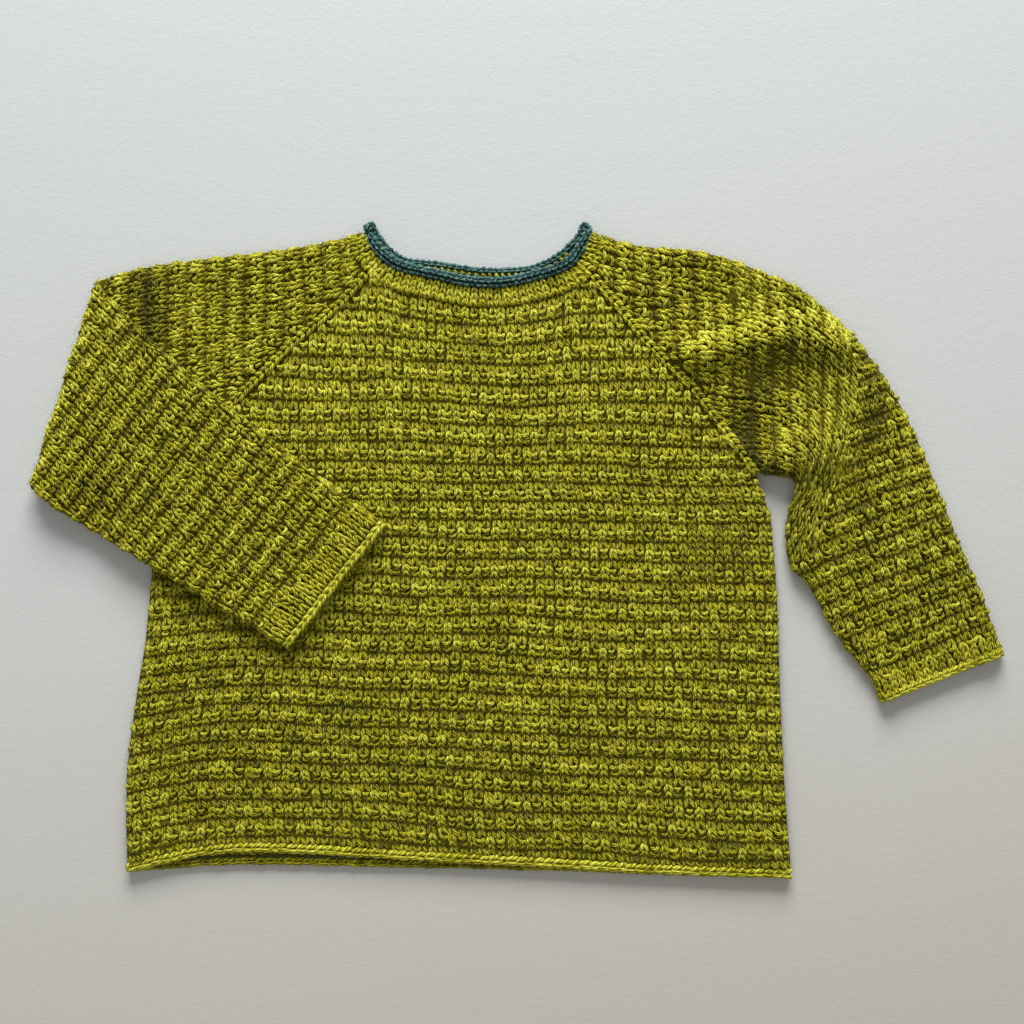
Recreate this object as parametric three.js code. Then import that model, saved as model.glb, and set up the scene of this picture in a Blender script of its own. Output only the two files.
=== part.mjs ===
// A toddler's hand-knitted raglan pullover, lying flat on its back, with one sleeve folded over the
// body and the other bent down at the armpit. Each knitted piece is a cloth wall of even thickness.
// Millimetres, +X to the viewer's right, +Y towards the neck, +Z up. The origin is under the middle
// of the garment's outline, on the surface that it lies on.

import * as THREE from 'three';
import { mergeVertices } from 'three/addons/utils/BufferGeometryUtils.js';

// ---------------------------------------------------------------- driving dimensions

const WALL = 2.6; // thickness of the knitted cloth
const GAP = 0.3; // clearance between layers and at seams
const MID = WALL + GAP / 2; // height of the plane between the two layers
const STACK = 2 * WALL + GAP; // height of two layers
const RIM = 0.5; // height of the upright face left at a panel's folded edge
const SEAM = 0.22; // how far each raglan edge stays back from the seam line
const BEAD = 1.2; // how far the cloth stands up beside a folded edge
const BEAD_IN = 5; // distance from the fold to the crest of that bead
const FOLD_AXIS = 5.8; // height of the axis that the folded sleeve turns round
const FOLD_ARC = 14.5; // length of cloth that goes round the sleeve's fold
const COLLAR_RADIUS = 2.3; // half thickness of the rolled neck edge
const COLLAR_BACK_RADIUS = 2; // the same along the back, where the roll lies flatter
const COLLAR_TIP_RADIUS = 1.8; // the same where the roll turns from front to back
const CHAIN_HALF_WIDTH = 1.75; // half width of the bound-off chain round the hem
const CHAIN_HALF_HEIGHT = 1.25; // half height of that chain
const ROUND = STACK / 2; // radius of a sleeve's folded edge
const RIDGE_FADE = 14; // distance from a sleeve's edge over which its ridges fade in

// ---------------------------------------------------------------- outlines, as plan points

// The seam lines between the front and the sleeves, from the neck to the underarm.
const RAGLAN_LEFT = [[-71, 146.5], [-87, 126], [-114, 103], [-137, 80], [-158, 60], [-176.5, 42]];
const RAGLAN_RIGHT = [[30.5, 146], [48, 124.5], [66, 103], [86, 83], [103, 60.5], [119.5, 38]];
// The same seams on the back, which starts higher at the neck.
const BACK_RAGLAN_LEFT = [[-66.3, 147.3], [-87, 125.5], [-114, 103], [-137, 80], [-158, 60], [-176.5, 42]];
const BACK_RAGLAN_RIGHT = [[26, 147], [48, 124], [66, 103], [86, 83], [103, 60.5], [119.5, 38]];
// The folded sides of the body, from the underarm to the hem chain.
const SIDE_LEFT = [[-176.5, 42], [-181, 18], [-184, -9.5], [-187, -44.5], [-192, -74.5], [-196, -104.5],
  [-197, -124.5], [-196.3, -156.4]];
const SIDE_RIGHT = [[119.5, 38], [126, 20], [128.5, -4.5], [130, -29.5], [131.5, -74.5], [134, -124.5],
  [136.8, -159.4]];
// The lower edge of the front and of the back, where the bound-off chain is worked on.
const HEM_FRONT = [[-196.3, -156.4], [-180, -152.4], [-160, -148], [-138, -146], [-110, -146.6],
  [-59, -149.7], [16, -153.7], [66, -156.7], [136.8, -159.4]];
const HEM_BACK = [[-196.3, -156.9], [-144, -153.4], [-59, -154.7], [16, -156.2], [66, -158.2], [136.8, -160]];
const CHAIN_DROP = 2 * GAP + CHAIN_HALF_WIDTH; // from a panel's lower edge to the middle of the chain

// The rolled neck edge: along the front from left to right, and back along the back. [x, y, z]
const NECK_FRONT = [[-73.4, 159.4, 5.2], [-70.6, 152.3, 5.3], [-66.4, 147.2, 5.3], [-59.4, 142.9, 5.3],
  [-49, 140.2, 5.3], [-38.7, 137.8, 5.3], [-28.3, 135.5, 5.3], [-19.3, 134.5, 5.3], [-6, 134.8, 5.3],
  [7, 137.6, 5.3], [19, 141.2, 5.3], [26.6, 145.4, 5.3], [30.3, 151.5, 5.3], [32.4, 158.6, 5.2]];
const NECK_BACK = [[29.2, 158.6, 2.1], [26.4, 153.4, 2], [22.6, 148.9, 2], [16, 144.6, 2],
  [7, 141.2, 2], [-3, 140, 2], [-16, 139.9, 2], [-28.3, 141.1, 2], [-39, 142.8, 2],
  [-51, 144.2, 2], [-58.3, 145.4, 2], [-63.2, 148.7, 2], [-67.4, 153.9, 2], [-70.1, 159.2, 2.1]];
const NECK_TIP_RIGHT = [[32.4, 161.6, 4.5], [30.6, 162.3, 3.2]];
const NECK_TIP_LEFT = [[-71.2, 162.6, 3.2], [-73.3, 162.1, 4.5]];

// The outer fold of each sleeve along its cap, from the neck to above the underarm.
const CAP_RIGHT = [[37, 160.5], [51, 155.6], [66, 152.8], [87, 151.3], [108, 146.4], [124, 139.5]];
const CAP_LEFT = [[-78, 160.5], [-93, 156], [-118, 151.5], [-150, 147.8], [-177, 144.3]];

// Sections of each sleeve from the underarm on: [point on the outer fold, point on the inner fold].
const ARM_RIGHT = [
  [[124, 139.5], [120, 38.4]],
  [[133, 136.3], [126, 37.2]],
  [[142, 131.3], [131, 36.6]],
  [[158, 118.5], [136, 35.5]],
  [[174, 101], [138, 32.5]],
  [[189.5, 78], [137, 27]],
  [[200, 57.6], [134.3, 18.5]],
  [[206.8, 41], [133.6, 7.3]],
  [[212.6, 26.5], [134.2, -3]],
  [[218.6, 11], [137.2, -10.5]],
  [[225.2, -4.6], [144.4, -17]],
  [[232, -19.6], [157.3, -40]],
  [[239.8, -41.8], [177.6, -66.2]],
];
const CUFF_RIGHT = [[[239.95, -42.2], [177.8, -66.6]], [[243.2, -51.8], [181.4, -75.8]]];
const ARM_LEFT_START = [[[-177, 144.3], [-177, 42.4]], [[-185, 143], [-190, 40.4]], [[-194, 141], [-208, 37.5]]];
const ARM_LEFT_END = [
  [[-232, 133.2], [-268, 31.8]],
  [[-252, 129.8], [-284, 33]],
  [[-278.4, 126.4], [-304, 34.8]],
  [[-318, 124.2], [-332, 37.2]],
  [[-356, 122.8], [-360, 39.2]],
  [[-388, 121.9], [-384.8, 42]],
];
const CUFF_LEFT = [[[-388.4, 121.9], [-385.2, 42]], [[-400.3, 121.4], [-396.8, 42.9]]];

// The elbow fold of the left sleeve: a line in plan, and the direction that the sleeve comes from.
const FOLD_POINT = [-208.2, 126.5];
const FOLD_NORMAL = [-0.952, 0.3055];
const FOLD_TOP_Y = 138; // height in plan of the sleeve's outer edge at the fold line
const FOLD_LOW_Y = 33.5; // and of its inner edge

// The soft folds of the bent sleeve: plan path, height and half width of each ridge.
const RIDGES = [
  { path: [[91, 99], [112, 110], [134, 114], [156, 108]], height: 3.6, reach: 11 },
  { path: [[131, 45], [150, 49], [163, 59], [168, 78], [164, 100]], height: 6.5, reach: 11 },
  { path: [[161, 46], [152, 14], [144, -4]], height: 3.2, reach: 9 },
];
// The underside is off the surface where the sleeve bunches at the armpit.
const ARMPIT = { centre: [135, 36], height: 2.6, reach: 11 };
// The folded sleeve sags where nothing is under it.
const SAG = { centre: [-214, 14], depth: 3, reach: 15 };

// ---------------------------------------------------------------- small tools

const { clamp, lerp, smoothstep } = THREE.MathUtils;

// A smooth curve through the points, as a function of the share of its length.
function curve(points, closed = false) {
  const vectors = points.map(([x, y, z = 0]) => new THREE.Vector3(x, y, z));
  const path = new THREE.CatmullRomCurve3(vectors, closed, 'centripetal');
  return (share) => path.getPointAt(clamp(share, 0, 1)).toArray();
}

// Distance from a point to a path of straight stretches, in plan.
function distanceTo(path, x, y) {
  let nearest = Infinity;
  for (let i = 0; i + 1 < path.length; i += 1) {
    const [ax, ay] = path[i];
    const [dx, dy] = [path[i + 1][0] - ax, path[i + 1][1] - ay];
    const share = clamp(((x - ax) * dx + (y - ay) * dy) / (dx * dx + dy * dy), 0, 1);
    nearest = Math.min(nearest, Math.hypot(x - ax - share * dx, y - ay - share * dy));
  }
  return nearest;
}

const bell = (distance, reach) => Math.exp(-((distance / reach) ** 2));

// A soft bead beside a fold: nothing at the edge, full at BEAD_IN, gone by four times that.
const bead = (inwards) => ((inwards / BEAD_IN) * Math.exp(1 - inwards / BEAD_IN)) ** 2;

// The rounded rise of a folded edge, from 0 at the edge to 1 at the given radius.
const rise = (inwards, radius) => Math.sqrt(1 - (1 - clamp(inwards / radius, 0, 1)) ** 2);

// Moves the points of a path sideways in plan.
const shifted = (points, dx, dy = 0) => points.map(([x, y, ...z]) => [x + dx, y + dy, ...z]);

// ---------------------------------------------------------------- building closed surfaces

// Four-sided faces between two rows of points: forwards along the first, backwards along the second.
function strip(first, second) {
  const faces = [];
  for (let k = 0; k + 1 < first.length; k += 1) {
    faces.push([first[k], first[k + 1], second[k + 1]], [first[k], second[k + 1], second[k]]);
  }
  return faces;
}

// Triangles between two rows with different numbers of points.
function zip(first, second) {
  const faces = [];
  let i = 0;
  let j = 0;
  while (i + 1 < first.length || j + 1 < second.length) {
    const firstShare = i + 1 < first.length ? (i + 1) / (first.length - 1) : Infinity;
    const secondShare = j + 1 < second.length ? (j + 1) / (second.length - 1) : Infinity;
    if (firstShare <= secondShare) {
      faces.push([first[i], first[i + 1], second[j]]);
      i += 1;
    } else {
      faces.push([first[i], second[j + 1], second[j]]);
      j += 1;
    }
  }
  return faces;
}

function sheetFaces(rows) {
  return rows.slice(1).flatMap((row, i) => strip(rows[i], row));
}

const turned = (faces) => faces.map(([a, b, c]) => [a, c, b]);
const same = (a, b) => Math.hypot(a[0] - b[0], a[1] - b[1], a[2] - b[2]) < 1e-3;

// A named mesh from consistently turned faces. They are turned outwards by the sign of the volume.
function solid(name, look, faces) {
  const kept = faces.filter(([a, b, c]) => !same(a, b) && !same(b, c) && !same(c, a));
  const [a, b, c] = [new THREE.Vector3(), new THREE.Vector3(), new THREE.Vector3()];
  const volume = kept.reduce(
    (sum, [p, q, r]) => sum + a.fromArray(p).dot(b.fromArray(q).cross(c.fromArray(r))) / 6,
    0,
  );
  const outwards = volume > 0 ? kept : turned(kept);
  const geometry = new THREE.BufferGeometry();
  geometry.setAttribute('position', new THREE.Float32BufferAttribute(outwards.flat(2), 3));
  const mesh = new THREE.Mesh(mergeVertices(geometry, 1e-4), new THREE.MeshStandardMaterial(look));
  mesh.geometry.computeVertexNormals();
  mesh.name = name;
  return mesh;
}

// A closed wall between an upper and a lower grid of points.
function slab(upper, lower) {
  const last = upper.length - 1;
  const column = (rows, k) => rows.map((row) => row.at(k));
  return [
    ...sheetFaces(upper),
    ...turned(sheetFaces(lower)),
    ...strip(lower[0], upper[0]),
    ...strip(upper[last], lower[last]),
    ...strip(column(upper, 0), column(lower, 0)),
    ...strip(column(lower, -1), column(upper, -1)),
  ];
}

// ---------------------------------------------------------------- front and back

// A surface spanned by four edge curves that share their corners.
function coons(top, bottom, left, right) {
  return (u, v) => [0, 1].map((axis) => {
    const sides = (1 - u) * left(v)[axis] + u * right(v)[axis];
    const ends = (1 - v) * top(u)[axis] + v * bottom(u)[axis];
    const corners = (1 - v) * ((1 - u) * top(0)[axis] + u * top(1)[axis])
      + v * ((1 - u) * bottom(0)[axis] + u * bottom(1)[axis]);
    return sides + ends - corners;
  });
}

// The neck edge of a panel: the roll's middle line, moved outwards clear of the roll, between the seams.
function neckEdge(roll, start, end, clear) {
  const outside = roll.slice(1, -1).map(([x, y], i) => {
    const [dx, dy] = [roll[i + 2][0] - roll[i][0], roll[i + 2][1] - roll[i][1]];
    const length = Math.hypot(dx, dy);
    return [x + (clear * dy) / length, y - (clear * dx) / length];
  });
  const inside = outside.filter(([x, y]) => x > start[0] + 1 && x < end[0] - 1 && y < start[1]);
  return curve([start, ...inside, end]);
}

const EDGE_STEPS = [0, 0.7, 2.2, 5, 10]; // distances from a side to the rows of points near it
const YOKE_ROWS = 8;
const BODY_ROWS = 9;
const PANEL_COLUMNS = 14;

function panelShares(width) {
  const near = EDGE_STEPS.map((step) => step / width);
  const inside = Array.from({ length: PANEL_COLUMNS - 1 }, (_, i) => (i + 1) / PANEL_COLUMNS)
    .map((share) => lerp(near.at(-1), 1 - near.at(-1), share));
  return [...near, ...inside, ...near.map((share) => 1 - share).reverse()];
}

// height(inwards, side, folded) gives [lower, upper] face heights.
function panel(neck, raglanLeft, raglanRight, hem, height) {
  const left = curve(shifted(raglanLeft, SEAM));
  const right = curve(shifted(raglanRight, -SEAM));
  const leftArm = left(1);
  const rightArm = right(1);
  const underarm = (u) => [lerp(leftArm[0], rightArm[0], u), lerp(leftArm[1], rightArm[1], u)];
  const yoke = coons(neck(left(0), right(0)), underarm, left, right);
  const bodyLeft = curve([leftArm, ...SIDE_LEFT.slice(1, -1), hem[0]]);
  const bodyRight = curve([rightArm, ...SIDE_RIGHT.slice(1, -1), hem.at(-1)]);
  const body = coons(underarm, curve(hem), bodyLeft, bodyRight);
  const rows = [
    ...Array.from({ length: YOKE_ROWS }, (_, i) => [yoke, i / YOKE_ROWS, false]),
    ...Array.from({ length: BODY_ROWS + 1 }, (_, i) => [body, i / BODY_ROWS, true]),
  ];
  const grids = [[], []];
  for (const [surface, v, folded] of rows) {
    const width = surface(1, v)[0] - surface(0, v)[0];
    const shares = panelShares(width);
    const faces = shares.map((u) => {
      const [x, y] = surface(u, v);
      const inwards = width * Math.min(u, 1 - u);
      return height(inwards, u < 0.5, folded, y).map((z) => [x, y, z]);
    });
    grids[0].push(faces.map(([lower]) => lower));
    grids[1].push(faces.map(([, upper]) => upper));
  }
  return slab(grids[1], grids[0]);
}

function frontHeight(inwards, isLeft, folded, y) {
  const base = WALL + GAP;
  if (!folded) return [base, base + WALL];
  // The left side lies under the folded sleeve near the underarm, and has no bead there.
  const clear = isLeft ? smoothstep(-y, 20, 50) : 1;
  const lift = BEAD * bead(inwards) * clear;
  return [base + lift, base + lift + RIM + (WALL - RIM) * rise(inwards, WALL)];
}

function backHeight(inwards, isLeft, folded) {
  if (!folded) return [0, WALL];
  return [(WALL - RIM) * (1 - rise(inwards, WALL)), WALL];
}

// ---------------------------------------------------------------- sleeves

const FOLD_STEPS = [0, 0.4, 1.4, ROUND, 6, 11]; // distances from a fold to the points near it
const UNDER_STEPS = [0, 0.5, 1.6, ROUND];
const FULL_WIDTH = 36; // a section narrower than this has its steps drawn in

// Distances from the outer fold at which a layer of a section has points.
function distances(width, steps, middles, inner, open) {
  const scale = Math.min(1, width / FULL_WIDTH);
  const first = inner ? [(WALL + 0.1) * scale] : [];
  const near = [...first, ...steps.filter((step) => !inner || step > WALL + 1).map((step) => step * scale)];
  const far = near.map((step) => width - step).reverse();
  if (inner && open) far[far.length - 1] = width;
  const middle = Array.from({ length: middles }, (_, i) => (i + 1) / (middles + 1))
    .map((share) => lerp(near.at(-1), far[0], share));
  return [...near, ...middle, ...far];
}

// One layer of a section: its plan line, with a height for every distance from the outer fold.
function layer(outer, end, steps, middles, inner, open, height) {
  const width = Math.hypot(end[0] - outer[0], end[1] - outer[1]);
  return distances(width, steps, middles, inner, open).map((distance) => {
    const share = distance / width;
    const [x, y] = [lerp(outer[0], end[0], share), lerp(outer[1], end[1], share)];
    return [x, y, height(distance, open ? Infinity : width - distance, x, y)];
  });
}

// The four layers of one section of a flattened sleeve.
function section([outer, upperEnd, lowerEnd = upperEnd], open, form) {
  const narrow = Math.min(1, Math.hypot(upperEnd[0] - outer[0], upperEnd[1] - outer[1]) / FULL_WIDTH);
  const inset = (WALL + 0.1) * narrow; // from a fold to the hollow inside it
  const edge = (fromOuter, fromInner, radius) => rise(fromOuter, radius) * rise(fromInner, radius);
  const lift = (fromOuter, fromInner, x, y) => edge(fromOuter, fromInner, ROUND)
    * form.bead(x, y) * BEAD * (bead(fromOuter) + (Number.isFinite(fromInner) ? bead(fromInner) : 0))
    + form.ridge(x, y) * edge(fromOuter, fromInner, RIDGE_FADE);
  const hollow = (a, b) => (GAP / 2) * edge(a - inset, b - inset, 1);
  const faces = [
    (a, b, x, y) => MID + ROUND * edge(a, b, ROUND * narrow) + lift(a, b, x, y),
    (a, b) => MID - ROUND * edge(a, b, ROUND * narrow),
    (a, b, x, y) => MID + hollow(a, b) + lift(a, b, x, y) * edge(a - inset, b - inset, ROUND),
    (a, b) => MID - hollow(a, b),
  ];
  const raised = (points) => points.map(([x, y, z]) => [x, y, z + form.raise(x, y)]);
  const layers = [
    raised(layer(outer, upperEnd, FOLD_STEPS, 3, false, open, faces[0])),
    raised(layer(outer, lowerEnd, UNDER_STEPS, 1, false, open, faces[1])),
    raised(layer(outer, upperEnd, FOLD_STEPS, 3, true, open, faces[2])),
    raised(layer(outer, lowerEnd, [], 2, true, open, faces[3])),
  ];
  layers[3][0] = layers[2][0]; // the hollow's upper and lower sides meet at the outer fold
  return layers;
}

// A flattened sleeve: open sections along the raglan seams, then closed ones round the arm.
function sleeve(openSections, closedSections, form) {
  const sections = [
    ...openSections.map((ends) => section(ends, true, form)),
    ...closedSections.map((ends) => section(ends, false, form)),
  ].map((layers) => layers.map((points) => points.map(form.place)));
  const [upper, lower, upperIn, lowerIn] = [0, 1, 2, 3].map((k) => sections.map((layers) => layers[k]));
  const cut = sections.slice(0, openSections.length ? openSections.length + 1 : 0);
  const ends = (k) => cut.map((layers) => layers[k].at(-1));
  const last = sections.length - 1;
  return [
    ...sheetFaces(upper),
    ...turned(sheetFaces(lower)),
    ...turned(sheetFaces(upperIn)),
    ...sheetFaces(lowerIn),
    ...strip(ends(2), ends(0)),
    ...strip(ends(1), ends(3)),
    ...zip(upperIn[0], upper[0]),
    ...zip(lower[0], lowerIn[0]),
    ...zip(upper[last], upperIn[last]),
    ...zip(lowerIn[last], lower[last]),
  ];
}

// Sections at even shares between the given ones, along smooth curves through their ends.
function between(sections, perStretch) {
  const count = (sections.length - 1) * perStretch;
  const rails = [0, 1].map((k) => {
    const points = sections.map((ends) => new THREE.Vector3(...ends[k], 0));
    return new THREE.CatmullRomCurve3(points, false, 'centripetal');
  });
  return Array.from({ length: count + 1 }, (_, i) => rails.map((rail) => rail.getPoint(i / count)
    .toArray().slice(0, 2)));
}

// The open sections of a sleeve's cap, at the same shares of the seams as the rows of the yoke.
// Their ends stay back from the seams by dx, on the sleeve's side.
function capSections(outerFold, raglan, backRaglan, dx) {
  const rails = [curve(outerFold), curve(shifted(raglan, dx)), curve(shifted(backRaglan, dx))];
  return Array.from({ length: YOKE_ROWS }, (_, i) => rails.map((rail) => rail(i / YOKE_ROWS).slice(0, 2)));
}

// Sections along the elbow fold, parallel to it, at even steps round its arc.
function foldSections(steps) {
  const along = [FOLD_NORMAL[1], -FOLD_NORMAL[0]];
  return Array.from({ length: steps + 1 }, (_, i) => {
    const past = (FOLD_ARC * i) / steps;
    const start = FOLD_POINT.map((value, axis) => value + past * FOLD_NORMAL[axis]);
    const at = (y) => {
      const run = (y - start[1]) / along[1];
      return [start[0] + run * along[0], y];
    };
    const edgeDrop = 0.17 * past;
    return [at(FOLD_TOP_Y - edgeDrop), at(FOLD_LOW_Y - 0.1 * past)];
  });
}

// Turns what lies past the elbow fold up and over, round an axis along the fold.
function foldOver([x, y, z]) {
  const past = (x - FOLD_POINT[0]) * FOLD_NORMAL[0] + (y - FOLD_POINT[1]) * FOLD_NORMAL[1];
  if (past <= 0) return [x, y, z];
  const radius = FOLD_AXIS - z;
  const angle = Math.min(1, past / FOLD_ARC) * Math.PI;
  const back = Math.max(0, past - FOLD_ARC);
  const out = radius * Math.sin(angle) - back;
  const [nx, ny] = FOLD_NORMAL;
  const placed = [x + (out - past) * nx, y + (out - past) * ny];
  const sag = SAG.depth * bell(Math.hypot(placed[0] - SAG.centre[0], placed[1] - SAG.centre[1]), SAG.reach);
  return [...placed, FOLD_AXIS - radius * Math.cos(angle) - sag * smoothstep(angle, 2, Math.PI)];
}

const flat = () => 0;

const rightForm = {
  bead: (x, y) => 1 - bell(Math.hypot(x - 140, y - 45), 25),
  ridge: (x, y) => RIDGES.reduce(
    (sum, { path, height, reach }) => sum + height * bell(distanceTo(path, x, y), reach),
    0,
  ),
  raise: (x, y) => ARMPIT.height
    * bell(Math.hypot(x - ARMPIT.centre[0], y - ARMPIT.centre[1]), ARMPIT.reach)
    * smoothstep(x, 121, 130),
  place: (point) => point,
};

const leftForm = {
  // No bead where the folded sleeve lies on this one.
  bead: (x, y) => smoothstep(y, 100, 125) * smoothstep(x, -200, -170),
  ridge: flat,
  raise: flat,
  place: foldOver,
};

// ---------------------------------------------------------------- rolled neck edge and hem chain

const TUBE_SIDES = 8;

// A closed tube: rings of points round a closed path, with each ring's own two half-axes.
function loopTube(rings) {
  const closedRings = rings.map((ring) => [...ring, ring[0]]);
  return sheetFaces([...closedRings, closedRings[0]]);
}

function ringOf(centre, acrossAxis, throughAxis) {
  return Array.from({ length: TUBE_SIDES }, (_, k) => {
    const angle = (2 * Math.PI * k) / TUBE_SIDES;
    return centre.map((value, axis) => value
      + Math.cos(angle) * acrossAxis[axis] + Math.sin(angle) * throughAxis[axis]);
  });
}

function collarFaces() {
  const path = [...NECK_FRONT, ...NECK_TIP_RIGHT, ...NECK_BACK, ...NECK_TIP_LEFT];
  const vectors = path.map((point) => new THREE.Vector3(...point));
  const roll = new THREE.CatmullRomCurve3(vectors, true, 'centripetal');
  const steps = 64;
  const frames = roll.computeFrenetFrames(steps, true);
  const rings = Array.from({ length: steps }, (_, i) => {
    const centre = roll.getPointAt(i / steps).toArray();
    const side = lerp(COLLAR_BACK_RADIUS, COLLAR_RADIUS, smoothstep(centre[2], 2.2, 5));
    const radius = lerp(side, COLLAR_TIP_RADIUS, smoothstep(centre[1], 155, 162));
    return ringOf(
      centre,
      frames.normals[i].clone().multiplyScalar(radius).toArray(),
      frames.binormals[i].clone().multiplyScalar(radius).toArray(),
    );
  });
  return loopTube(rings);
}

function hemFaces() {
  const turn = GAP / 2 + CHAIN_HALF_HEIGHT + 0.05; // radius of the turn from front to back
  const steps = 30;
  const run = (points, z) => {
    const line = curve(shifted(points, 0, -CHAIN_DROP));
    return Array.from({ length: steps + 1 }, (_, i) => {
      const [x, y] = line(i / steps);
      return [x, y, z];
    });
  };
  const inset = turn + CHAIN_HALF_HEIGHT;
  const clipped = (points) => [
    [points[0][0] + inset, points[0][1]],
    ...points.slice(1, -1),
    [points.at(-1)[0] - inset, points.at(-1)[1]],
  ];
  const front = run(clipped(HEM_FRONT), MID + turn);
  const back = run(clipped(HEM_BACK), MID - turn).reverse();
  const round = (from, to, side) => [1, 2, 3].map((k) => {
    const angle = (Math.PI * k) / 4;
    const share = k / 4;
    return [
      lerp(from[0], to[0], share) + side * turn * Math.sin(angle),
      lerp(from[1], to[1], share),
      MID + Math.sign(from[2] - MID) * turn * Math.cos(angle),
    ];
  });
  const centres = [
    ...front,
    ...round(front.at(-1), back[0], 1),
    ...back,
    ...round(back.at(-1), front[0], -1),
  ];
  const width = new THREE.Vector3(0, -CHAIN_HALF_WIDTH, 0);
  const rings = centres.map((centre, i) => {
    const before = centres.at(i - 1);
    const after = centres[(i + 1) % centres.length];
    const forwards = new THREE.Vector3(...after).sub(new THREE.Vector3(...before));
    const through = forwards.cross(width).setLength(CHAIN_HALF_HEIGHT);
    return ringOf(centre, width.toArray(), through.toArray());
  });
  return loopTube(rings);
}

// ---------------------------------------------------------------- the garment

const WOOL = { color: 0x8b8a24, roughness: 0.95, metalness: 0 };
const TEAL = { color: 0x3f6f6b, roughness: 0.95, metalness: 0 };

const frontNeck = (start, end) => neckEdge(NECK_FRONT, start, end, COLLAR_RADIUS + 2 * GAP);
const backNeck = (start, end) => {
  const roll = [...NECK_BACK].reverse();
  return neckEdge(roll, start, end, COLLAR_BACK_RADIUS + 2 * GAP);
};

const rightCap = capSections(CAP_RIGHT, RAGLAN_RIGHT, BACK_RAGLAN_RIGHT, SEAM);
const leftCap = capSections(CAP_LEFT, RAGLAN_LEFT, BACK_RAGLAN_LEFT, -SEAM);
const leftArm = [
  ...ARM_LEFT_START,
  ...foldSections(6),
  ...between(ARM_LEFT_END, 2),
];

const garment = new THREE.Group();
garment.add(
  solid('back', WOOL, panel(backNeck, BACK_RAGLAN_LEFT, BACK_RAGLAN_RIGHT, HEM_BACK, backHeight)),
  solid('front', WOOL, panel(frontNeck, RAGLAN_LEFT, RAGLAN_RIGHT, HEM_FRONT, frontHeight)),
  solid('sleeve_right', WOOL, sleeve(rightCap, between(ARM_RIGHT, 2), rightForm)),
  solid('sleeve_left', WOOL, sleeve(leftCap, leftArm, leftForm)),
  solid('cuff_right', WOOL, sleeve([], between(CUFF_RIGHT, 2), rightForm)),
  solid('cuff_left', WOOL, sleeve([], between(CUFF_LEFT, 2), leftForm)),
  solid('collar', TEAL, collarFaces()),
  solid('hem_edge', WOOL, hemFaces()),
);

export default garment;
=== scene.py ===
import math

import bmesh
import bpy
import numpy as np
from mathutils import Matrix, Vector
from mathutils.bvhtree import BVHTree
from numpy.linalg import norm


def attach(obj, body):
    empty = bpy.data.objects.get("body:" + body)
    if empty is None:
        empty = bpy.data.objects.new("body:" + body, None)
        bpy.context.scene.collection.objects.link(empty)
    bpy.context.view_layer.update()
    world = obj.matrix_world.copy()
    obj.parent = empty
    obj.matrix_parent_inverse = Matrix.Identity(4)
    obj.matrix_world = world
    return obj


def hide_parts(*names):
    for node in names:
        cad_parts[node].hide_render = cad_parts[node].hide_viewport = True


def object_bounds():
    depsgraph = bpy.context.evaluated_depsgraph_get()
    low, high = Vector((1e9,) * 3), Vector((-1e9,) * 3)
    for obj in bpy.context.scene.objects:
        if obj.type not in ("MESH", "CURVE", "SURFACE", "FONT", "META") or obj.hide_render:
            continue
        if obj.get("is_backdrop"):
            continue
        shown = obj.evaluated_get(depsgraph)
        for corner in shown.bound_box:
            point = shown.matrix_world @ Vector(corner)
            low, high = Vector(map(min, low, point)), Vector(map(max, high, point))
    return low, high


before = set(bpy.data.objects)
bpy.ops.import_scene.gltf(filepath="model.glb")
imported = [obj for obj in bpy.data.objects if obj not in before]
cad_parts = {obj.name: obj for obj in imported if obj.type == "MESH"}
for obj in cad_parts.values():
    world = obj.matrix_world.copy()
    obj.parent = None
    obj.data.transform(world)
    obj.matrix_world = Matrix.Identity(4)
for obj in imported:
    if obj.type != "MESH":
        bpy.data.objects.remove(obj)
cad_low, cad_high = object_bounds()
scene = bpy.context.scene
draw = np.random.default_rng(11)

# ----- sizes of the garment

WALL, GAP = 2.6, 0.3  # thickness of the cloth, and the gap between front and back
MID = WALL + GAP / 2  # height between two layers, and so the radius of a folded edge
ROUND = MID
BEAD, BEAD_IN = 1.2, 5.0  # height of the swell along a folded edge, and how far in its crest is
FOLD_AXIS, FOLD_ARC = 5.8, 14.5  # height of the elbow fold's middle, and the plan length that goes round it
CHAIN_DROP = 2 * GAP + 1.75  # from the last row down to the middle of the bound-off chain
PITCH, ROW = 4.55, 3.27  # width of a stitch and height of a row
YOKE, BODY, ACROSS = 28, 60, 70  # rows of the yoke and of the body, stitches across the body
SPLIT = YOKE + 22  # row where the front's stitches pass from the yoke's mesh to the body's
SLEEVE_TOP, SLEEVE_UNDER = 22, 24  # stitches across a sleeve's top and its underside
RIGHT_ROWS, LEFT_ROWS = 74, 98  # rows of each sleeve, counted back from its cuff
CUFF_ROWS, RIB_COLUMNS, RIB_ROWS = 3, 34, 3
UNDERARM = 36  # height of the lower ends of the raglan lines

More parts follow.
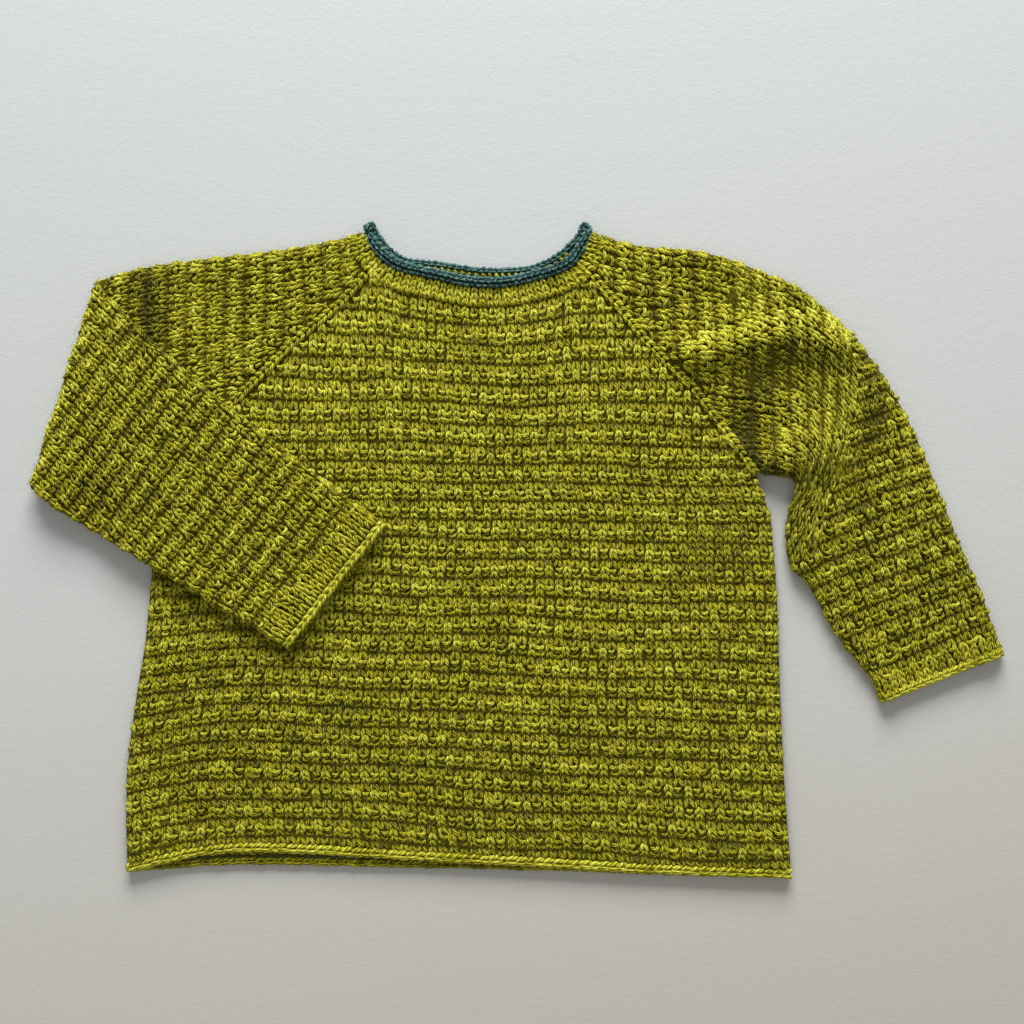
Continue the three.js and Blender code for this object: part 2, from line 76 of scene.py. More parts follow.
RAGLAN_LEFT = [(-71, 146.5), (-87, 126), (-114, 103), (-137, 80), (-158, 60), (-176.5, 42)]
RAGLAN_RIGHT = [(30.5, 146), (48, 124.5), (66, 103), (86, 83), (103, 60.5), (119.5, 38)]
BACK_RAGLAN_LEFT = [(-66.3, 147.3), (-87, 125.5), *RAGLAN_LEFT[2:]]
BACK_RAGLAN_RIGHT = [(26, 147), (48, 124), *RAGLAN_RIGHT[2:]]
SIDE_LEFT = [(-176.5, 42), (-181, 18), (-184, -9.5), (-187, -44.5), (-192, -74.5), (-196, -104.5),
             (-197, -124.5), (-196.3, -156.4)]
SIDE_RIGHT = [(119.5, 38), (126, 20), (128.5, -4.5), (130, -29.5), (131.5, -74.5), (134, -124.5),
              (136.8, -159.4)]
HEM_FRONT = [(-196.3, -156.4), (-180, -152.4), (-160, -148), (-138, -146), (-110, -146.6),
             (-59, -149.7), (16, -153.7), (66, -156.7), (136.8, -159.4)]
HEM_BACK = [(-196.3, -156.9), (-144, -153.4), (-59, -154.7), (16, -156.2), (66, -158.2), (136.8, -160)]
NECK_FRONT = [(-73.4, 159.4, 5.2), (-70.6, 152.3, 5.3), (-66.4, 147.2, 5.3), (-59.4, 142.9, 5.3),
              (-49, 140.2, 5.3), (-38.7, 137.8, 5.3), (-28.3, 135.5, 5.3), (-19.3, 134.5, 5.3),
              (-6, 134.8, 5.3), (7, 137.6, 5.3), (19, 141.2, 5.3), (26.6, 145.4, 5.3),
              (30.3, 151.5, 5.3), (32.4, 158.6, 5.2)]
NECK_BACK = [(29.2, 158.6, 2.1), (26.4, 153.4, 2), (22.6, 148.9, 2), (16, 144.6, 2), (7, 141.2, 2),
             (-3, 140, 2), (-16, 139.9, 2), (-28.3, 141.1, 2), (-39, 142.8, 2), (-51, 144.2, 2),
             (-58.3, 145.4, 2), (-63.2, 148.7, 2), (-67.4, 153.9, 2), (-70.1, 159.2, 2.1)]
NECK_TIPS = [(32.4, 161.6, 4.5), (30.6, 162.3, 3.2)], [(-71.2, 162.6, 3.2), (-73.3, 162.1, 4.5)]
CAP_RIGHT = [(37, 160.5), (51, 155.6), (66, 152.8), (87, 151.3), (108, 146.4), (124, 139.5)]
CAP_LEFT = [(-78, 160.5), (-93, 156), (-118, 151.5), (-150, 147.8), (-177, 144.3)]
ARM_RIGHT = [((124, 139.5), (120, 38.4)), ((133, 136.3), (126, 37.2)), ((142, 131.3), (131, 36.6)),
             ((158, 118.5), (136, 35.5)), ((174, 101), (138, 32.5)), ((189.5, 78), (137, 27)),
             ((200, 57.6), (134.3, 18.5)), ((206.8, 41), (133.6, 7.3)), ((212.6, 26.5), (134.2, -3)),
             ((218.6, 11), (137.2, -10.5)), ((225.2, -4.6), (144.4, -17)),
             ((232, -19.6), (157.3, -40)), ((239.8, -41.8), (177.6, -66.2))]
CUFF_RIGHT = [((239.95, -42.2), (177.8, -66.6)), ((243.2, -51.8), (181.4, -75.8))]
ARM_LEFT = [((-177, 144.3), (-177, 42.4)), ((-185, 143), (-190, 40.4)), ((-194, 141), (-208, 37.5)),
            ((-204.5, 138), (-238, 33.6)), ((-218.6, 135.6), (-252, 32.4)),
            ((-232, 133.2), (-268, 31.8)), ((-252, 129.8), (-284, 33)), ((-278.4, 126.4), (-304, 34.8)),
            ((-318, 124.2), (-332, 37.2)), ((-356, 122.8), (-360, 39.2)), ((-388, 121.9), (-384.8, 42))]
CUFF_LEFT = [((-388.4, 121.9), (-385.2, 42)), ((-400.3, 121.4), (-396.8, 42.9))]
FOLD_POINT, FOLD_NORMAL = np.array([-208.2, 126.5]), np.array([-0.952, 0.3055])
RIDGES = [([(91, 99), (112, 110), (134, 114), (156, 108)], 3.6, 11),
          ([(131, 45), (150, 49), (163, 59), (168, 78), (164, 100)], 6.5, 11),
          ([(161, 46), (152, 14), (144, -4)], 3.2, 9)]
# Higher folds and deeper troughs between them than the solid's, on the right sleeve's top.
CREASES = [([(82, 96), (112, 102), (136, 105), (158, 102)], 3.0, 8), ([(118, 84), (144, 86)], -1.2, 8),
           ([(112, 60), (124, 48)], -1.6, 8), ([(134, 53), (150, 57), (160, 68)], 1.2, 8)]
# Places where the cloth's colour is painted darker in its troughs and in the shadows of its folds, as painted shade,
# and paler on its crests, as painted highlight.
PAINTED_SHADE_AND_HIGHLIGHT = [([(133, 99), (124, 91), (117, 76), (114, 60), (113, 52)], -0.22, 8), ([(113, 60), (120, 47)], -0.2, 7),
         ([(175, 94), (178, 79), (177, 58)], -0.15, 7), ([(92, 102), (116, 110), (143, 117), (162, 112)], 0.15, 7),
         ([(130, 56), (137, 64), (144, 74), (157, 84), (165, 94)], 0.06, 5), ([(70, 130), (105, 126)], -0.05, 12),
         ([(168, 98), (169, 79), (163, 58), (157, 40), (152, 25)], 0.06, 5),
         ([(-187, 136), (-184, 108)], -0.33, 8), ([(-200, 128), (-222, 100)], 0.02, 10),
         ([(-213, 130), (-241, 36)], 0.06, 6), ([(-203, 126), (-72, 17)], 0.05, 5),
         ([(119, 40), (137, 36)], -0.25, 4)]
STEEP = [(112, 64), (130, 56)]  # the steep foot of the right sleeve's second fold
# Where the upper arm's cloth meets the forearm's, on the crest of the bent sleeve's fold.
CREST = [(158, 119), (161.75, 107.5), (166.75, 96.5), (168.75, 79.5), (166.75, 69), (162.75, 55),
         (159.75, 41), (150.75, 10.5), (140.75, -4.5)]
# The re-knitted place near the right underarm, as the corners of a box.
MEND = (81, 118, -12, 10.5)


# ----- curves

def spline(points, per=24, closed=False):
    """A centripetal Catmull-Rom curve through the points, as a dense row of points."""
    p = np.array([(*q, 0.0)[:3] for q in points], float)
    ends = (p[-1:], p[:2]) if closed else (2 * p[:1] - p[1:2], 2 * p[-1:] - p[-2:-1])
    p = np.vstack([ends[0], p, ends[1]])
    rows = []
    for a, b, c, d in zip(p, p[1:], p[2:], p[3:]):
        k = np.cumsum([0, *(math.sqrt(max(norm(y - x), 1e-6)) for x, y in ((a, b), (b, c), (c, d)))])
        t = np.linspace(k[1], k[2], per, endpoint=False)[:, None]

        def mix(x, y, i, j):
            return ((k[j] - t) * x + (t - k[i]) * y) / (k[j] - k[i])

        ab, bc, cd = mix(a, b, 0, 1), mix(b, c, 1, 2), mix(c, d, 2, 3)
        rows.append(mix(mix(ab, bc, 0, 2), mix(bc, cd, 1, 3), 1, 2))
    rows.append(p[1:2] if closed else p[-2:-1])
    return np.vstack(rows)


class Line:
    """A curve that is read by distance along it."""

    def __init__(self, points, closed=False, dense=None):
        self.p = spline(points, closed=closed) if dense is None else dense
        steps = norm(np.diff(self.p, axis=0), axis=1)
        self.s = np.concatenate([[0], np.cumsum(steps)])
        self.length = self.s[-1]

    def at(self, distance):
        return np.stack([np.interp(distance, self.s, self.p[:, k]) for k in range(3)], -1)

    def share(self, share):
        return self.at(np.asarray(share) * self.length)


def smooth(x, low, high):
    t = np.clip((x - low) / (high - low), 0, 1)
    return t * t * (3 - 2 * t)


def distance(path, points):
    """Distance in plan from each point to a path of straight stretches."""
    best = np.full(points.shape[:-1], 1e9)
    q = np.array([p[:2] for p in path], float)
    for a, b in zip(q, q[1:]):
        d = b - a
        t = np.clip(((points[..., :2] - a) @ d) / max(d @ d, 1e-9), 0, 1)
        best = np.minimum(best, norm(points[..., :2] - a - t[..., None] * d, axis=-1))
    return best


def inside(outline, points):
    """Whether each point is inside a closed outline, in plan."""
    q = np.array([p[:2] for p in outline], float)
    x, y = points[..., 0], points[..., 1]
    odd = np.zeros(x.shape, bool)
    for (ax, ay), (bx, by) in zip(q, np.roll(q, -1, axis=0)):
        if ay != by:
            odd ^= ((ay > y) != (by > y)) & (x < (bx - ax) * (y - ay) / (by - ay) + ax)
    return odd


def bell(d, reach):
    return np.exp(-((d / reach) ** 2))


def marked(points, marks):
    """The sum at the points of soft marks, each given by its path, its amount and its reach."""
    return sum(amount * bell(distance(path, points), reach) for path, amount, reach in marks)


def bead(d):
    d = np.clip(d, 0, 60)
    return ((d / BEAD_IN) * np.exp(1 - d / BEAD_IN)) ** 2


def rise(d, radius):
    return np.sqrt(np.clip(1 - (1 - np.clip(d / radius, 0, 1)) ** 2, 0, 1))


# ----- the folded tube of cloth

EXTRA = (math.pi / 2 - 1) * ROUND  # cloth that goes round half a fold, past its plan width


def unroll(d):
    arc = ROUND * (1 - np.cos(np.clip(d / ROUND, -math.pi / 2, math.pi / 2)))
    return np.where(d < math.pi / 2 * ROUND, arc, d - EXTRA)


def across(a, width, open_end=False):
    """For cloth at distance a from the first fold: its share of the plan width, its plan distances
    from both folds, and its height as a share of the fold's radius."""
    total = width + EXTRA * (1 if open_end else 2)
    start = unroll(a)
    end = total - a if open_end else unroll(total - a)
    share = np.where(a < total / 2, start / width, 1 - end / width)
    up = np.where((a < 0) | ((a > total) & (not open_end)), -1.0, 1.0)
    height = up * rise(start, ROUND) * (1 if open_end else rise(end, ROUND))
    return share, start, 1e3 if open_end else end, height


def fold_over(p):
    past = (p[..., :2] - FOLD_POINT) @ FOLD_NORMAL
    radius = FOLD_AXIS - p[..., 2]
    angle = np.clip(past / FOLD_ARC, 0, 1) * math.pi
    out = radius * np.sin(angle) - np.maximum(0, past - FOLD_ARC)
    xy = p[..., :2] + (out - past)[..., None] * FOLD_NORMAL
    sag = 3 * bell(norm(xy - (-214, 14), axis=-1), 15)
    z = FOLD_AXIS - radius * np.cos(angle) - sag * smooth(angle, 2, math.pi)
    return np.where((past > 0)[..., None], np.concatenate([xy, z[..., None]], -1), p)


def stay(p):
    return p


class Form:
    """How a sleeve's cloth is lifted off the plain folded tube, and where it is placed."""

    def __init__(self, beads, ridge, lifted, place):
        self.beads, self.ridge, self.lifted, self.place = beads, ridge, lifted, place


def far(x, y, centre, reach):
    return bell(np.hypot(x - centre[0], y - centre[1]), reach)


def right_ridge(x, y):
    return marked(np.stack([x, y], -1), RIDGES + CREASES)


RIGHT = Form(lambda x, y: 1 - far(x, y, (140, 45), 25), right_ridge,
             lambda x, y: 2.6 * far(x, y, (135, 36), 11) * smooth(x, 121, 130), stay)
LEFT = Form(lambda x, y: smooth(y, 100, 125) * smooth(x, -200, -170), lambda x, y: 0 * x,
            lambda x, y: 0 * x, fold_over)


def sleeve_point(outer, inner, a, form, upper, open_end=False):
    width = norm(inner - outer, axis=-1)
    share, start, end, height = across(a, width, open_end)
    xy = outer + share[..., None] * (inner - outer)
    x, y = xy[..., 0], xy[..., 1]
    z = MID + (1 if upper else -1) * ROUND * height
    if upper:
        edge = np.clip(height, 0, 1)
        z = z + edge * form.beads(x, y) * BEAD * (bead(start) + (0 if open_end else bead(end)))
        z = z + form.ridge(x, y) * rise(start, 14) * rise(end, 14) * (height > 0)
    z = z + form.lifted(x, y)
    return form.place(np.stack([x, y, z], -1))


# ----- charts: cloth counted in stitches

FINE = 4  # points of a chart's grid to each stitch


class Chart:
    """A piece of cloth as a function of stitches across (u) and rows down (v)."""

    def __init__(self, place, columns, rows, outward=1, start=(0, 0)):
        self.outward = outward
        self.u = np.arange(start[0] * FINE, columns * FINE + 1) / FINE
        self.v = np.arange(start[1] * FINE, rows * FINE + 1) / FINE
        u, v = np.meshgrid(self.u, self.v)
        self.p = place(u, v)
        n = np.cross(np.gradient(self.p, axis=0), np.gradient(self.p, axis=1)) * outward
        self.n = n / np.maximum(norm(n, axis=-1, keepdims=True), 1e-9)

    def at(self, u, v, height=0.0):
        x = np.clip((u - self.u[0]) * FINE, 0, len(self.u) - 1.001)
        y = np.clip((v - self.v[0]) * FINE, 0, len(self.v) - 1.001)
        i, j = x.astype(int), y.astype(int)
        s, t = (x - i)[..., None], (y - j)[..., None]

        def read(grid):
            return ((1 - t) * ((1 - s) * grid[j, i] + s * grid[j, i + 1])
                    + t * ((1 - s) * grid[j + 1, i] + s * grid[j + 1, i + 1]))

        return read(self.p) + read(self.n) * np.asarray(height)[..., None]


def coons(top, bottom, left, right, u, v):
    sides = (1 - u)[..., None] * left.share(v) + u[..., None] * right.share(v)
    ends = (1 - v)[..., None] * top(u) + v[..., None] * bottom(u)
    corners = ((1 - v)[..., None] * ((1 - u)[..., None] * top(0 * u) + u[..., None] * top(0 * u + 1))
               + v[..., None] * ((1 - u)[..., None] * bottom(0 * u) + u[..., None] * bottom(0 * u + 1)))
    return sides + ends - corners


ARM_ENDS = np.array([(-176.28, 42, 0), (119.28, 38, 0)])
NECK_LINE = np.array(sorted(p[:2] for p in NECK_FRONT if p[1] < 148))


def body_place(hem, upper):
    hem_line = Line(hem)
    left = Line([tuple(ARM_ENDS[0]), *SIDE_LEFT[1:-1], hem[0]])
    right = Line([tuple(ARM_ENDS[1]), *SIDE_RIGHT[1:-1], hem[-1]])

    def arm(u):
        return (1 - u)[..., None] * ARM_ENDS[0] + u[..., None] * ARM_ENDS[1]

    def place(u, v):
        down = np.clip((v - YOKE) / BODY, 0, 1)
        width = right.share(down)[..., 0] - left.share(down)[..., 0]
        share, start, end, height = across(u / ACROSS * (width + 2 * EXTRA), width)
        p = coons(arm, hem_line.share, left, right, share, down)
        # Above the underarm the columns go straight up, and the rows bend to the neck's curve.
        above = np.clip(YOKE - v, 0, YOKE)
        neck = np.interp(p[..., 0], NECK_LINE[:, 0], NECK_LINE[:, 1])
        bend = neck - 2.9 - arm(share)[..., 1] - YOKE * ROW
        p[..., 1] += above * ROW + bend * (above / YOKE) ** 2
        height = np.where(v < YOKE, 1, height)
        z = MID + (1 if upper else -1) * ROUND * height
        if upper:
            clear = np.where(share < 0.5, smooth(-p[..., 1], 20, 50), 1)
            z = z + BEAD * (bead(start) + bead(end)) * clear * np.clip(height, 0, 1) * (v > YOKE)
        p[..., 2] = z
        return p

    return place


def wobble(u, v, seed):
    """Slow unevenness of hand knitting, in stitches."""
    return (0.12 * np.sin(u * 0.31 + v * 0.23 + seed) + 0.08 * np.sin(u * 0.83 - v * 0.41 + 2 * seed)
            + 0.05 * np.sin(u * 1.7 + v * 1.1 + 3 * seed))


def sideways(ahead):
    """The level unit vector square to each direction."""
    side = np.stack([ahead[..., 1], -ahead[..., 0], 0 * ahead[..., 0]], -1)
    return side / np.maximum(norm(side, axis=-1, keepdims=True), 1e-9)


def put(name, data):
    thing = bpy.data.objects.new(name, data)
    scene.collection.objects.link(thing)
    return thing


# ----- strands of yarn

def strand(points, radii, sides, squash=0.85):
    """A closed strand with pointed ends: vertices, faces as vertex numbers, and UV at face corners.
    The first and last points are the tips."""
    p = np.array(points, float)
    turns = np.arange(sides) * 2 * math.pi / sides
    verts = [p[0]]
    for i in range(1, len(p) - 1):
        along = p[i + 1] - p[i - 1]
        along /= norm(along)
        side = np.cross(along, (0, 0, 1))
        side /= norm(side)
        up = np.cross(side, along)
        ring = p[i] + radii[i - 1] * (np.cos(turns)[:, None] * side + squash * np.sin(turns)[:, None] * up)
        verts.extend(ring)
    verts.append(p[-1])
    lengths = np.concatenate([[0], np.cumsum(norm(np.diff(p, axis=0), axis=1))])
    faces, uvs = [], []
    rings = len(p) - 2
    for k in range(sides):
        nxt = (k + 1) % sides
        ua, ub = k / sides, (k + 1) / sides
        faces.append((0, 1 + nxt, 1 + k))
        uvs.append(((ua, 0), (ub, lengths[1]), (ua, lengths[1])))
        for r in range(rings - 1):
            a, b = 1 + r * sides, 1 + (r + 1) * sides
            faces.append((a + k, a + nxt, b + nxt, b + k))
            uvs.append(((ua, lengths[r + 1]), (ub, lengths[r + 1]), (ub, lengths[r + 2]), (ua, lengths[r + 2])))
        a = 1 + (rings - 1) * sides
        last = len(verts) - 1
        faces.append((a + k, a + nxt, last))
        uvs.append(((ua, lengths[-2]), (ub, lengths[-2]), (ua, lengths[-1])))
    return np.array(verts), faces, uvs


def joined(*strands):
    verts, faces, uvs, base = [], [], [], 0
    for v, f, t in strands:
        verts.append(v)
        faces.extend(tuple(base + i for i in face) for face in f)
        uvs.extend(t)
        base += len(v)
    return np.vstack(verts), faces, uvs


def mirrored(points):
    return [(-x, y, z) for x, y, z in points]


LEG = [(0.12, -2.7, -0.35), (0.64, -1.45, 0.2), (1.16, 0.0, 0.36), (1.56, 1.35, 0.05), (1.92, 2.6, -0.6)]
LEG_RADII = (0.92, 1.08, 0.98)
BAR = [(-2.5, -1.9, -0.5), (-1.3, -0.35, 0.35), (0, 0.35, 0.72), (1.3, -0.35, 0.35), (2.5, -1.9, -0.5)]
BAR_RADII = (1.0, 1.18, 1.0)
UNDER_BAR = [(-1.9, 2.6, -0.6), (-0.75, 1.5, -0.05), (0.75, 1.5, -0.05), (1.9, 2.6, -0.6)]
KNIT = joined(strand(LEG, LEG_RADII, 5), strand(mirrored(LEG), LEG_RADII, 5))
PURL = joined(strand(BAR, BAR_RADII, 5), strand(UNDER_BAR, (0.8, 0.8), 4))
PLAIN_LEG = [LEG[0], LEG[1], LEG[3], LEG[4]]
PLAIN_BAR = [BAR[0], (-1.0, 0.0, 0.45), (1.0, 0.0, 0.45), BAR[4]]
PLAIN_KNIT = joined(strand(PLAIN_LEG, (1.0, 1.0), 4), strand(mirrored(PLAIN_LEG), (1.0, 1.0), 4))
PLAIN_PURL = strand(PLAIN_BAR, (1.0, 1.0), 4)

FIBRE = strand([(-2.1, 0.0, 0.5), (-0.8, 0.5, 1.5), (0.9, 0.1, 1.7), (2.3, 0.7, 1.0)], (0.07, 0.07), 3)

# K is a knit stitch and P a purl one, for even and odd columns in a repeat of six rows.
REPEAT = ("KK", "KP", "KP", "KK", "PK", "PK")


def cells(columns, rows, first=(0, 0)):
    c, r = np.meshgrid(np.arange(first[0], columns), np.arange(first[1], rows))
    return c.ravel(), r.ravel()


def kinds(c, r):
    purl = np.array([[kind == "P" for kind in row] for row in REPEAT])
    return purl[r % 6, c % 2], (r % 3 == 0)


class Yarn:
    """Collects placed strands into one mesh."""

    def __init__(self):
        self.verts, self.loops, self.sizes, self.uvs, self.tints, self.count = [], [], [], [], [], 0

    def add(self, template, chart, u, v, level=0.0, tint=0.0, width=1.0, length=1.0, turn=0.0, jitter=1.0,
            band=0.0, row=0.0):
        """Places a copy of the template at each (u, v) of the chart, its middle level above the cloth.
        band sinks the line where one group of three rows meets the next and darkens it as painted shade, and row is
        the copy's place in its chart before any unevenness."""
        if not len(u):
            return
        points, faces, uvs = template
        if chart.outward < 0:
            faces, uvs = [face[::-1] for face in faces], [face[::-1] for face in uvs]
        n = len(u)
        size = 1 + jitter * draw.normal(0, 0.07, (n, 1))
        turned = turn + jitter * draw.normal(0, 0.11, (n, 1))
        x = points[None, :, 0] * width * size
        y = points[None, :, 1] * length * size
        x, y = x * np.cos(turned) - y * np.sin(turned), x * np.sin(turned) + y * np.cos(turned)
        height = (points[None, :, 2] - 0.75 + np.broadcast_to(level, n)[:, None]
                  + jitter * draw.normal(0, 0.13, (n, 1)))
        across_at = u[:, None] + jitter * draw.normal(0, 0.045, (n, 1)) + x / PITCH
        down_at = v[:, None] + jitter * draw.normal(0, 0.04, (n, 1)) + y / ROW
        from_line = (np.broadcast_to(row, n)[:, None] + y / ROW + 1.5) % 3 - 1.5
        lined = np.broadcast_to(band, n)[:, None]
        sunk = lined * bell(from_line, 0.75)
        placed = chart.at(across_at, down_at, height - 0.95 * sunk)
        placed[..., 2] = np.maximum(placed[..., 2], 0.02)
        self.verts.append(placed.reshape(-1, 3))
        base = self.count + np.arange(n)[:, None] * len(points)
        flat = np.array([i for face in faces for i in face])
        self.loops.append((base + flat).ravel())
        self.sizes.append(np.tile([len(face) for face in faces], n))
        shift = draw.random((n, 1, 2)) * (1, 50)
        self.uvs.append((np.array([t for face in uvs for t in face])[None] + shift).reshape(-1, 2))
        shade = np.broadcast_to(tint, n)[:, None] + draw.normal(0, 0.05, (n, 1)) + 0.05
        # Painted shade: the sunk line between groups of three rows is darkened; banded strands are otherwise raised a
        # little in tone.
        shade = shade + 0.06 * lined - 0.29 * sunk
        self.tints.append(shade.ravel())
        self.count += n * len(points)

    def build(self, name, material):
        verts = np.concatenate(self.verts) / 1000
        loops = np.concatenate(self.loops)
        sizes = np.concatenate(self.sizes)
        mesh = bpy.data.meshes.new(name)
        mesh.vertices.add(len(verts))
        mesh.vertices.foreach_set("co", verts.astype(np.float32).ravel())
        mesh.loops.add(len(loops))
        mesh.loops.foreach_set("vertex_index", loops.astype(np.int32))
        mesh.polygons.add(len(sizes))
        mesh.polygons.foreach_set("loop_start", np.concatenate([[0], np.cumsum(sizes)[:-1]]).astype(np.int32))
        mesh.polygons.foreach_set("loop_total", sizes.astype(np.int32))
        mesh.update(calc_edges=True)
        mesh.polygons.foreach_set("use_smooth", np.ones(len(sizes), bool))
        layer = mesh.uv_layers.new(name="UVMap")
        layer.data.foreach_set("uv", np.concatenate(self.uvs).astype(np.float32).ravel())
        tint = mesh.attributes.new("tint", "FLOAT", "POINT")
        tint.data.foreach_set("value", np.concatenate(self.tints).astype(np.float32))
        mesh.validate()
        piece = put(name, mesh)
        mesh.materials.append(material)
        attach(piece, "root")
        return piece


# ----- materials

def nodes_of(material):
    material.use_nodes = True
    tree = material.node_tree
    tree.nodes.clear()
    out = tree.nodes.new("ShaderNodeOutputMaterial")
    shader = tree.nodes.new("ShaderNodeBsdfPrincipled")
    tree.links.new(shader.outputs[0], out.inputs[0])
    return tree, shader


def math_node(tree, kind, a, b=None, c=None):
    node = tree.nodes.new("ShaderNodeMath")
    node.operation = kind
    for socket, value in zip(node.inputs, (a, b, c)):
        if value is None:
            continue
        if isinstance(value, (int, float)):
            socket.default_value = value
        else:
            tree.links.new(value, socket)
    return node.outputs[0]


def mix_of(tree, *scaled, base=None):
    """The sum of values times their factors, and of base if there is one."""
    for value, factor in scaled:
        term = math_node(tree, "MULTIPLY", value, factor)
        base = term if base is None else math_node(tree, "ADD", base, term)
    return base


def ramp_node(tree, source, stops):
    node = tree.nodes.new("ShaderNodeValToRGB")
    ramp = node.color_ramp
    while len(ramp.elements) < len(stops):
        ramp.elements.new(0.5)
    for element, (at, colour) in zip(ramp.elements, stops):
        element.position = at
        element.color = (*colour, 1)
    tree.links.new(source, node.inputs[0])
    return node.outputs[0]


def noise_node(tree, scale, detail, vector=None):
    node = tree.nodes.new("ShaderNodeTexNoise")
    node.inputs["Scale"].default_value = scale
    node.inputs["Detail"].default_value = detail
    if vector is None:
        vector = tree.nodes.new("ShaderNodeTexCoord").outputs["Object"]
    tree.links.new(vector, node.inputs["Vector"])
    return node.outputs["Fac"]


def bump(tree, shader, height, strength, reach):
    """Joins a bump of the height to the shader. reach is the height's full depth in metres."""
    node = tree.nodes.new("ShaderNodeBump")
    node.inputs["Strength"].default_value = strength
    node.inputs["Distance"].default_value = reach
    tree.links.new(height, node.inputs["Height"])
    tree.links.new(node.outputs[0], shader.inputs["Normal"])


PLIES, WIND = 4.0, 0.42  # plies round a strand, and how many wind past for each millimetre along it


def yarn_material(name, stops, sheen):
    """Plied heathered wool. The plies wind round each strand along its own UV."""
    material = bpy.data.materials.new(name)
    tree, shader = nodes_of(material)
    uv = tree.nodes.new("ShaderNodeUVMap")
    uv.uv_map = "UVMap"
    split = tree.nodes.new("ShaderNodeSeparateXYZ")
    tree.links.new(uv.outputs[0], split.inputs[0])
    wound = mix_of(tree, (split.outputs[0], PLIES), (split.outputs[1], WIND))
    wave = math_node(tree, "SINE", math_node(tree, "MULTIPLY", wound, 2 * math.pi))
    ridge = math_node(tree, "MULTIPLY_ADD", wave, 0.5, 0.5)
    fibre = noise_node(tree, 2600, 2)
    fleck = noise_node(tree, 520, 3)
    drift = noise_node(tree, 45, 2)
    tint = tree.nodes.new("ShaderNodeAttribute")
    tint.attribute_name = "tint"
    # The plies' crests are painted paler and the grooves between them darker, a painted highlight and shade beside
    # their bump; fleck, fibre and drift are the heathered wool's own tone.
    shade = mix_of(tree, (ridge, 0.34), (fleck, 0.5), (fibre, 0.25), (drift, 0.22), base=tint.outputs["Fac"])
    colour = ramp_node(tree, math_node(tree, "SUBTRACT", shade, 0.17), stops)
    tree.links.new(colour, shader.inputs["Base Color"])
    bump(tree, shader, mix_of(tree, (ridge, 0.7), (fibre, 0.5)), 0.9, 0.0004)
    tree.links.new(math_node(tree, "MULTIPLY_ADD", fibre, 0.2, 0.72), shader.inputs["Roughness"])
    shader.inputs["Specular IOR Level"].default_value = 0.25
    shader.inputs["Sheen Weight"].default_value = 0.12
    shader.inputs["Sheen Roughness"].default_value = 0.45
    shader.inputs["Sheen Tint"].default_value = (*sheen, 1)
    return material


def cloth_material(name, dark, light):
    """The shadowed inside of the knitting, seen between the strands."""
    material = bpy.data.materials.new(name)
    tree, shader = nodes_of(material)
    fleck = noise_node(tree, 900, 3)
    tree.links.new(ramp_node(tree, fleck, [(0.35, dark), (0.7, light)]), shader.inputs["Base Color"])
    bump(tree, shader, fleck, 0.6, 0.0005)
    shader.inputs["Roughness"].default_value = 0.95
    shader.inputs["Specular IOR Level"].default_value = 0.1
    return material


GREEN = [(0.2, (0.058, 0.049, 0.0003)), (0.4, (0.245, 0.214, 0.0008)), (0.6, (0.505, 0.465, 0.004)),
         (0.82, (0.8, 0.78, 0.11))]
TEAL = [(0.2, (0.01, 0.035, 0.032)), (0.4, (0.04, 0.115, 0.1)), (0.6, (0.1, 0.22, 0.19)),
        (0.85, (0.27, 0.43, 0.37))]
wool = yarn_material("heathered_green_wool", GREEN, (0.9, 0.9, 0.45))
teal = yarn_material("teal_wool", TEAL, (0.6, 0.8, 0.75))
backing = cloth_material("green_wool_depth", (0.03, 0.027, 0.001), (0.12, 0.11, 0.003))
teal_backing = cloth_material("teal_wool_depth", (0.004, 0.012, 0.012), (0.02, 0.05, 0.05))

# ----- paths shared by the pieces

roll_path = Line([*NECK_FRONT, *NECK_TIPS[0], *NECK_BACK, *NECK_TIPS[1]], closed=True)
RIB = 12.4  # ribbed edge under the roll, measured from the roll's middle
SEAM_HALF = 3.3  # half width of the knit band along a raglan line
# How far the middles of the stitches keep from a seam, the rib, the back's neck edge and an inner fold.
SEAM_CLEAR, RIB_CLEAR, BACK_NECK_CLEAR, FOLD_CLEAR = SEAM_HALF - 0.5, RIB - 2.4, 5.2, 1.7
seams_front = [Line(RAGLAN_LEFT), Line(RAGLAN_RIGHT)]
seams_back = [Line(BACK_RAGLAN_LEFT), Line(BACK_RAGLAN_RIGHT)]
neck_back_path = spline(NECK_BACK)
neck_front_path = spline(NECK_FRONT)
cap_right_line, cap_left_line = spline(CAP_RIGHT), spline(CAP_LEFT)


def side_of(seam, points):
    """How far in +X each point is from a raglan line at its own height."""
    p = seam.p[::-1]
    return points[..., 0] - np.interp(points[..., 1], p[:, 1], p[:, 0])


RAIL, CAP_RAIL = 16, 24  # points of a sleeve's folds to each stretch between sections, and on its cap


def rails(cap, arm, inner_y, start_x):
    """The outer and inner folds of a sleeve as matching dense rows, the cap's inner one being virtual."""
    outer, inner = spline([a for a, _ in arm], RAIL)[:, :2], spline([b for _, b in arm], RAIL)[:, :2]
    edge = spline(cap)[:, :2]
    order = np.argsort(edge[:, 0])
    x = np.linspace(start_x, arm[0][0][0], CAP_RAIL, endpoint=False)
    y = np.interp(x, edge[order, 0], edge[order, 1])
    shift = np.linspace(0, arm[0][1][0] - arm[0][0][0], CAP_RAIL, endpoint=False)
    top = np.stack([x, y], -1)
    low = np.stack([x + shift, np.full_like(x, inner_y)], -1)
    return np.vstack([top, outer]), np.vstack([low, inner])


right_outer, right_inner = rails(CAP_RIGHT, ARM_RIGHT, 38.4, 30)
left_outer, left_inner = rails(CAP_LEFT, ARM_LEFT, 42.4, -70)


def outward_of(form, upper):
    """Which way a sleeve chart's normals are turned, to point out of the tube."""
    return 1 if (form is LEFT) == upper else -1


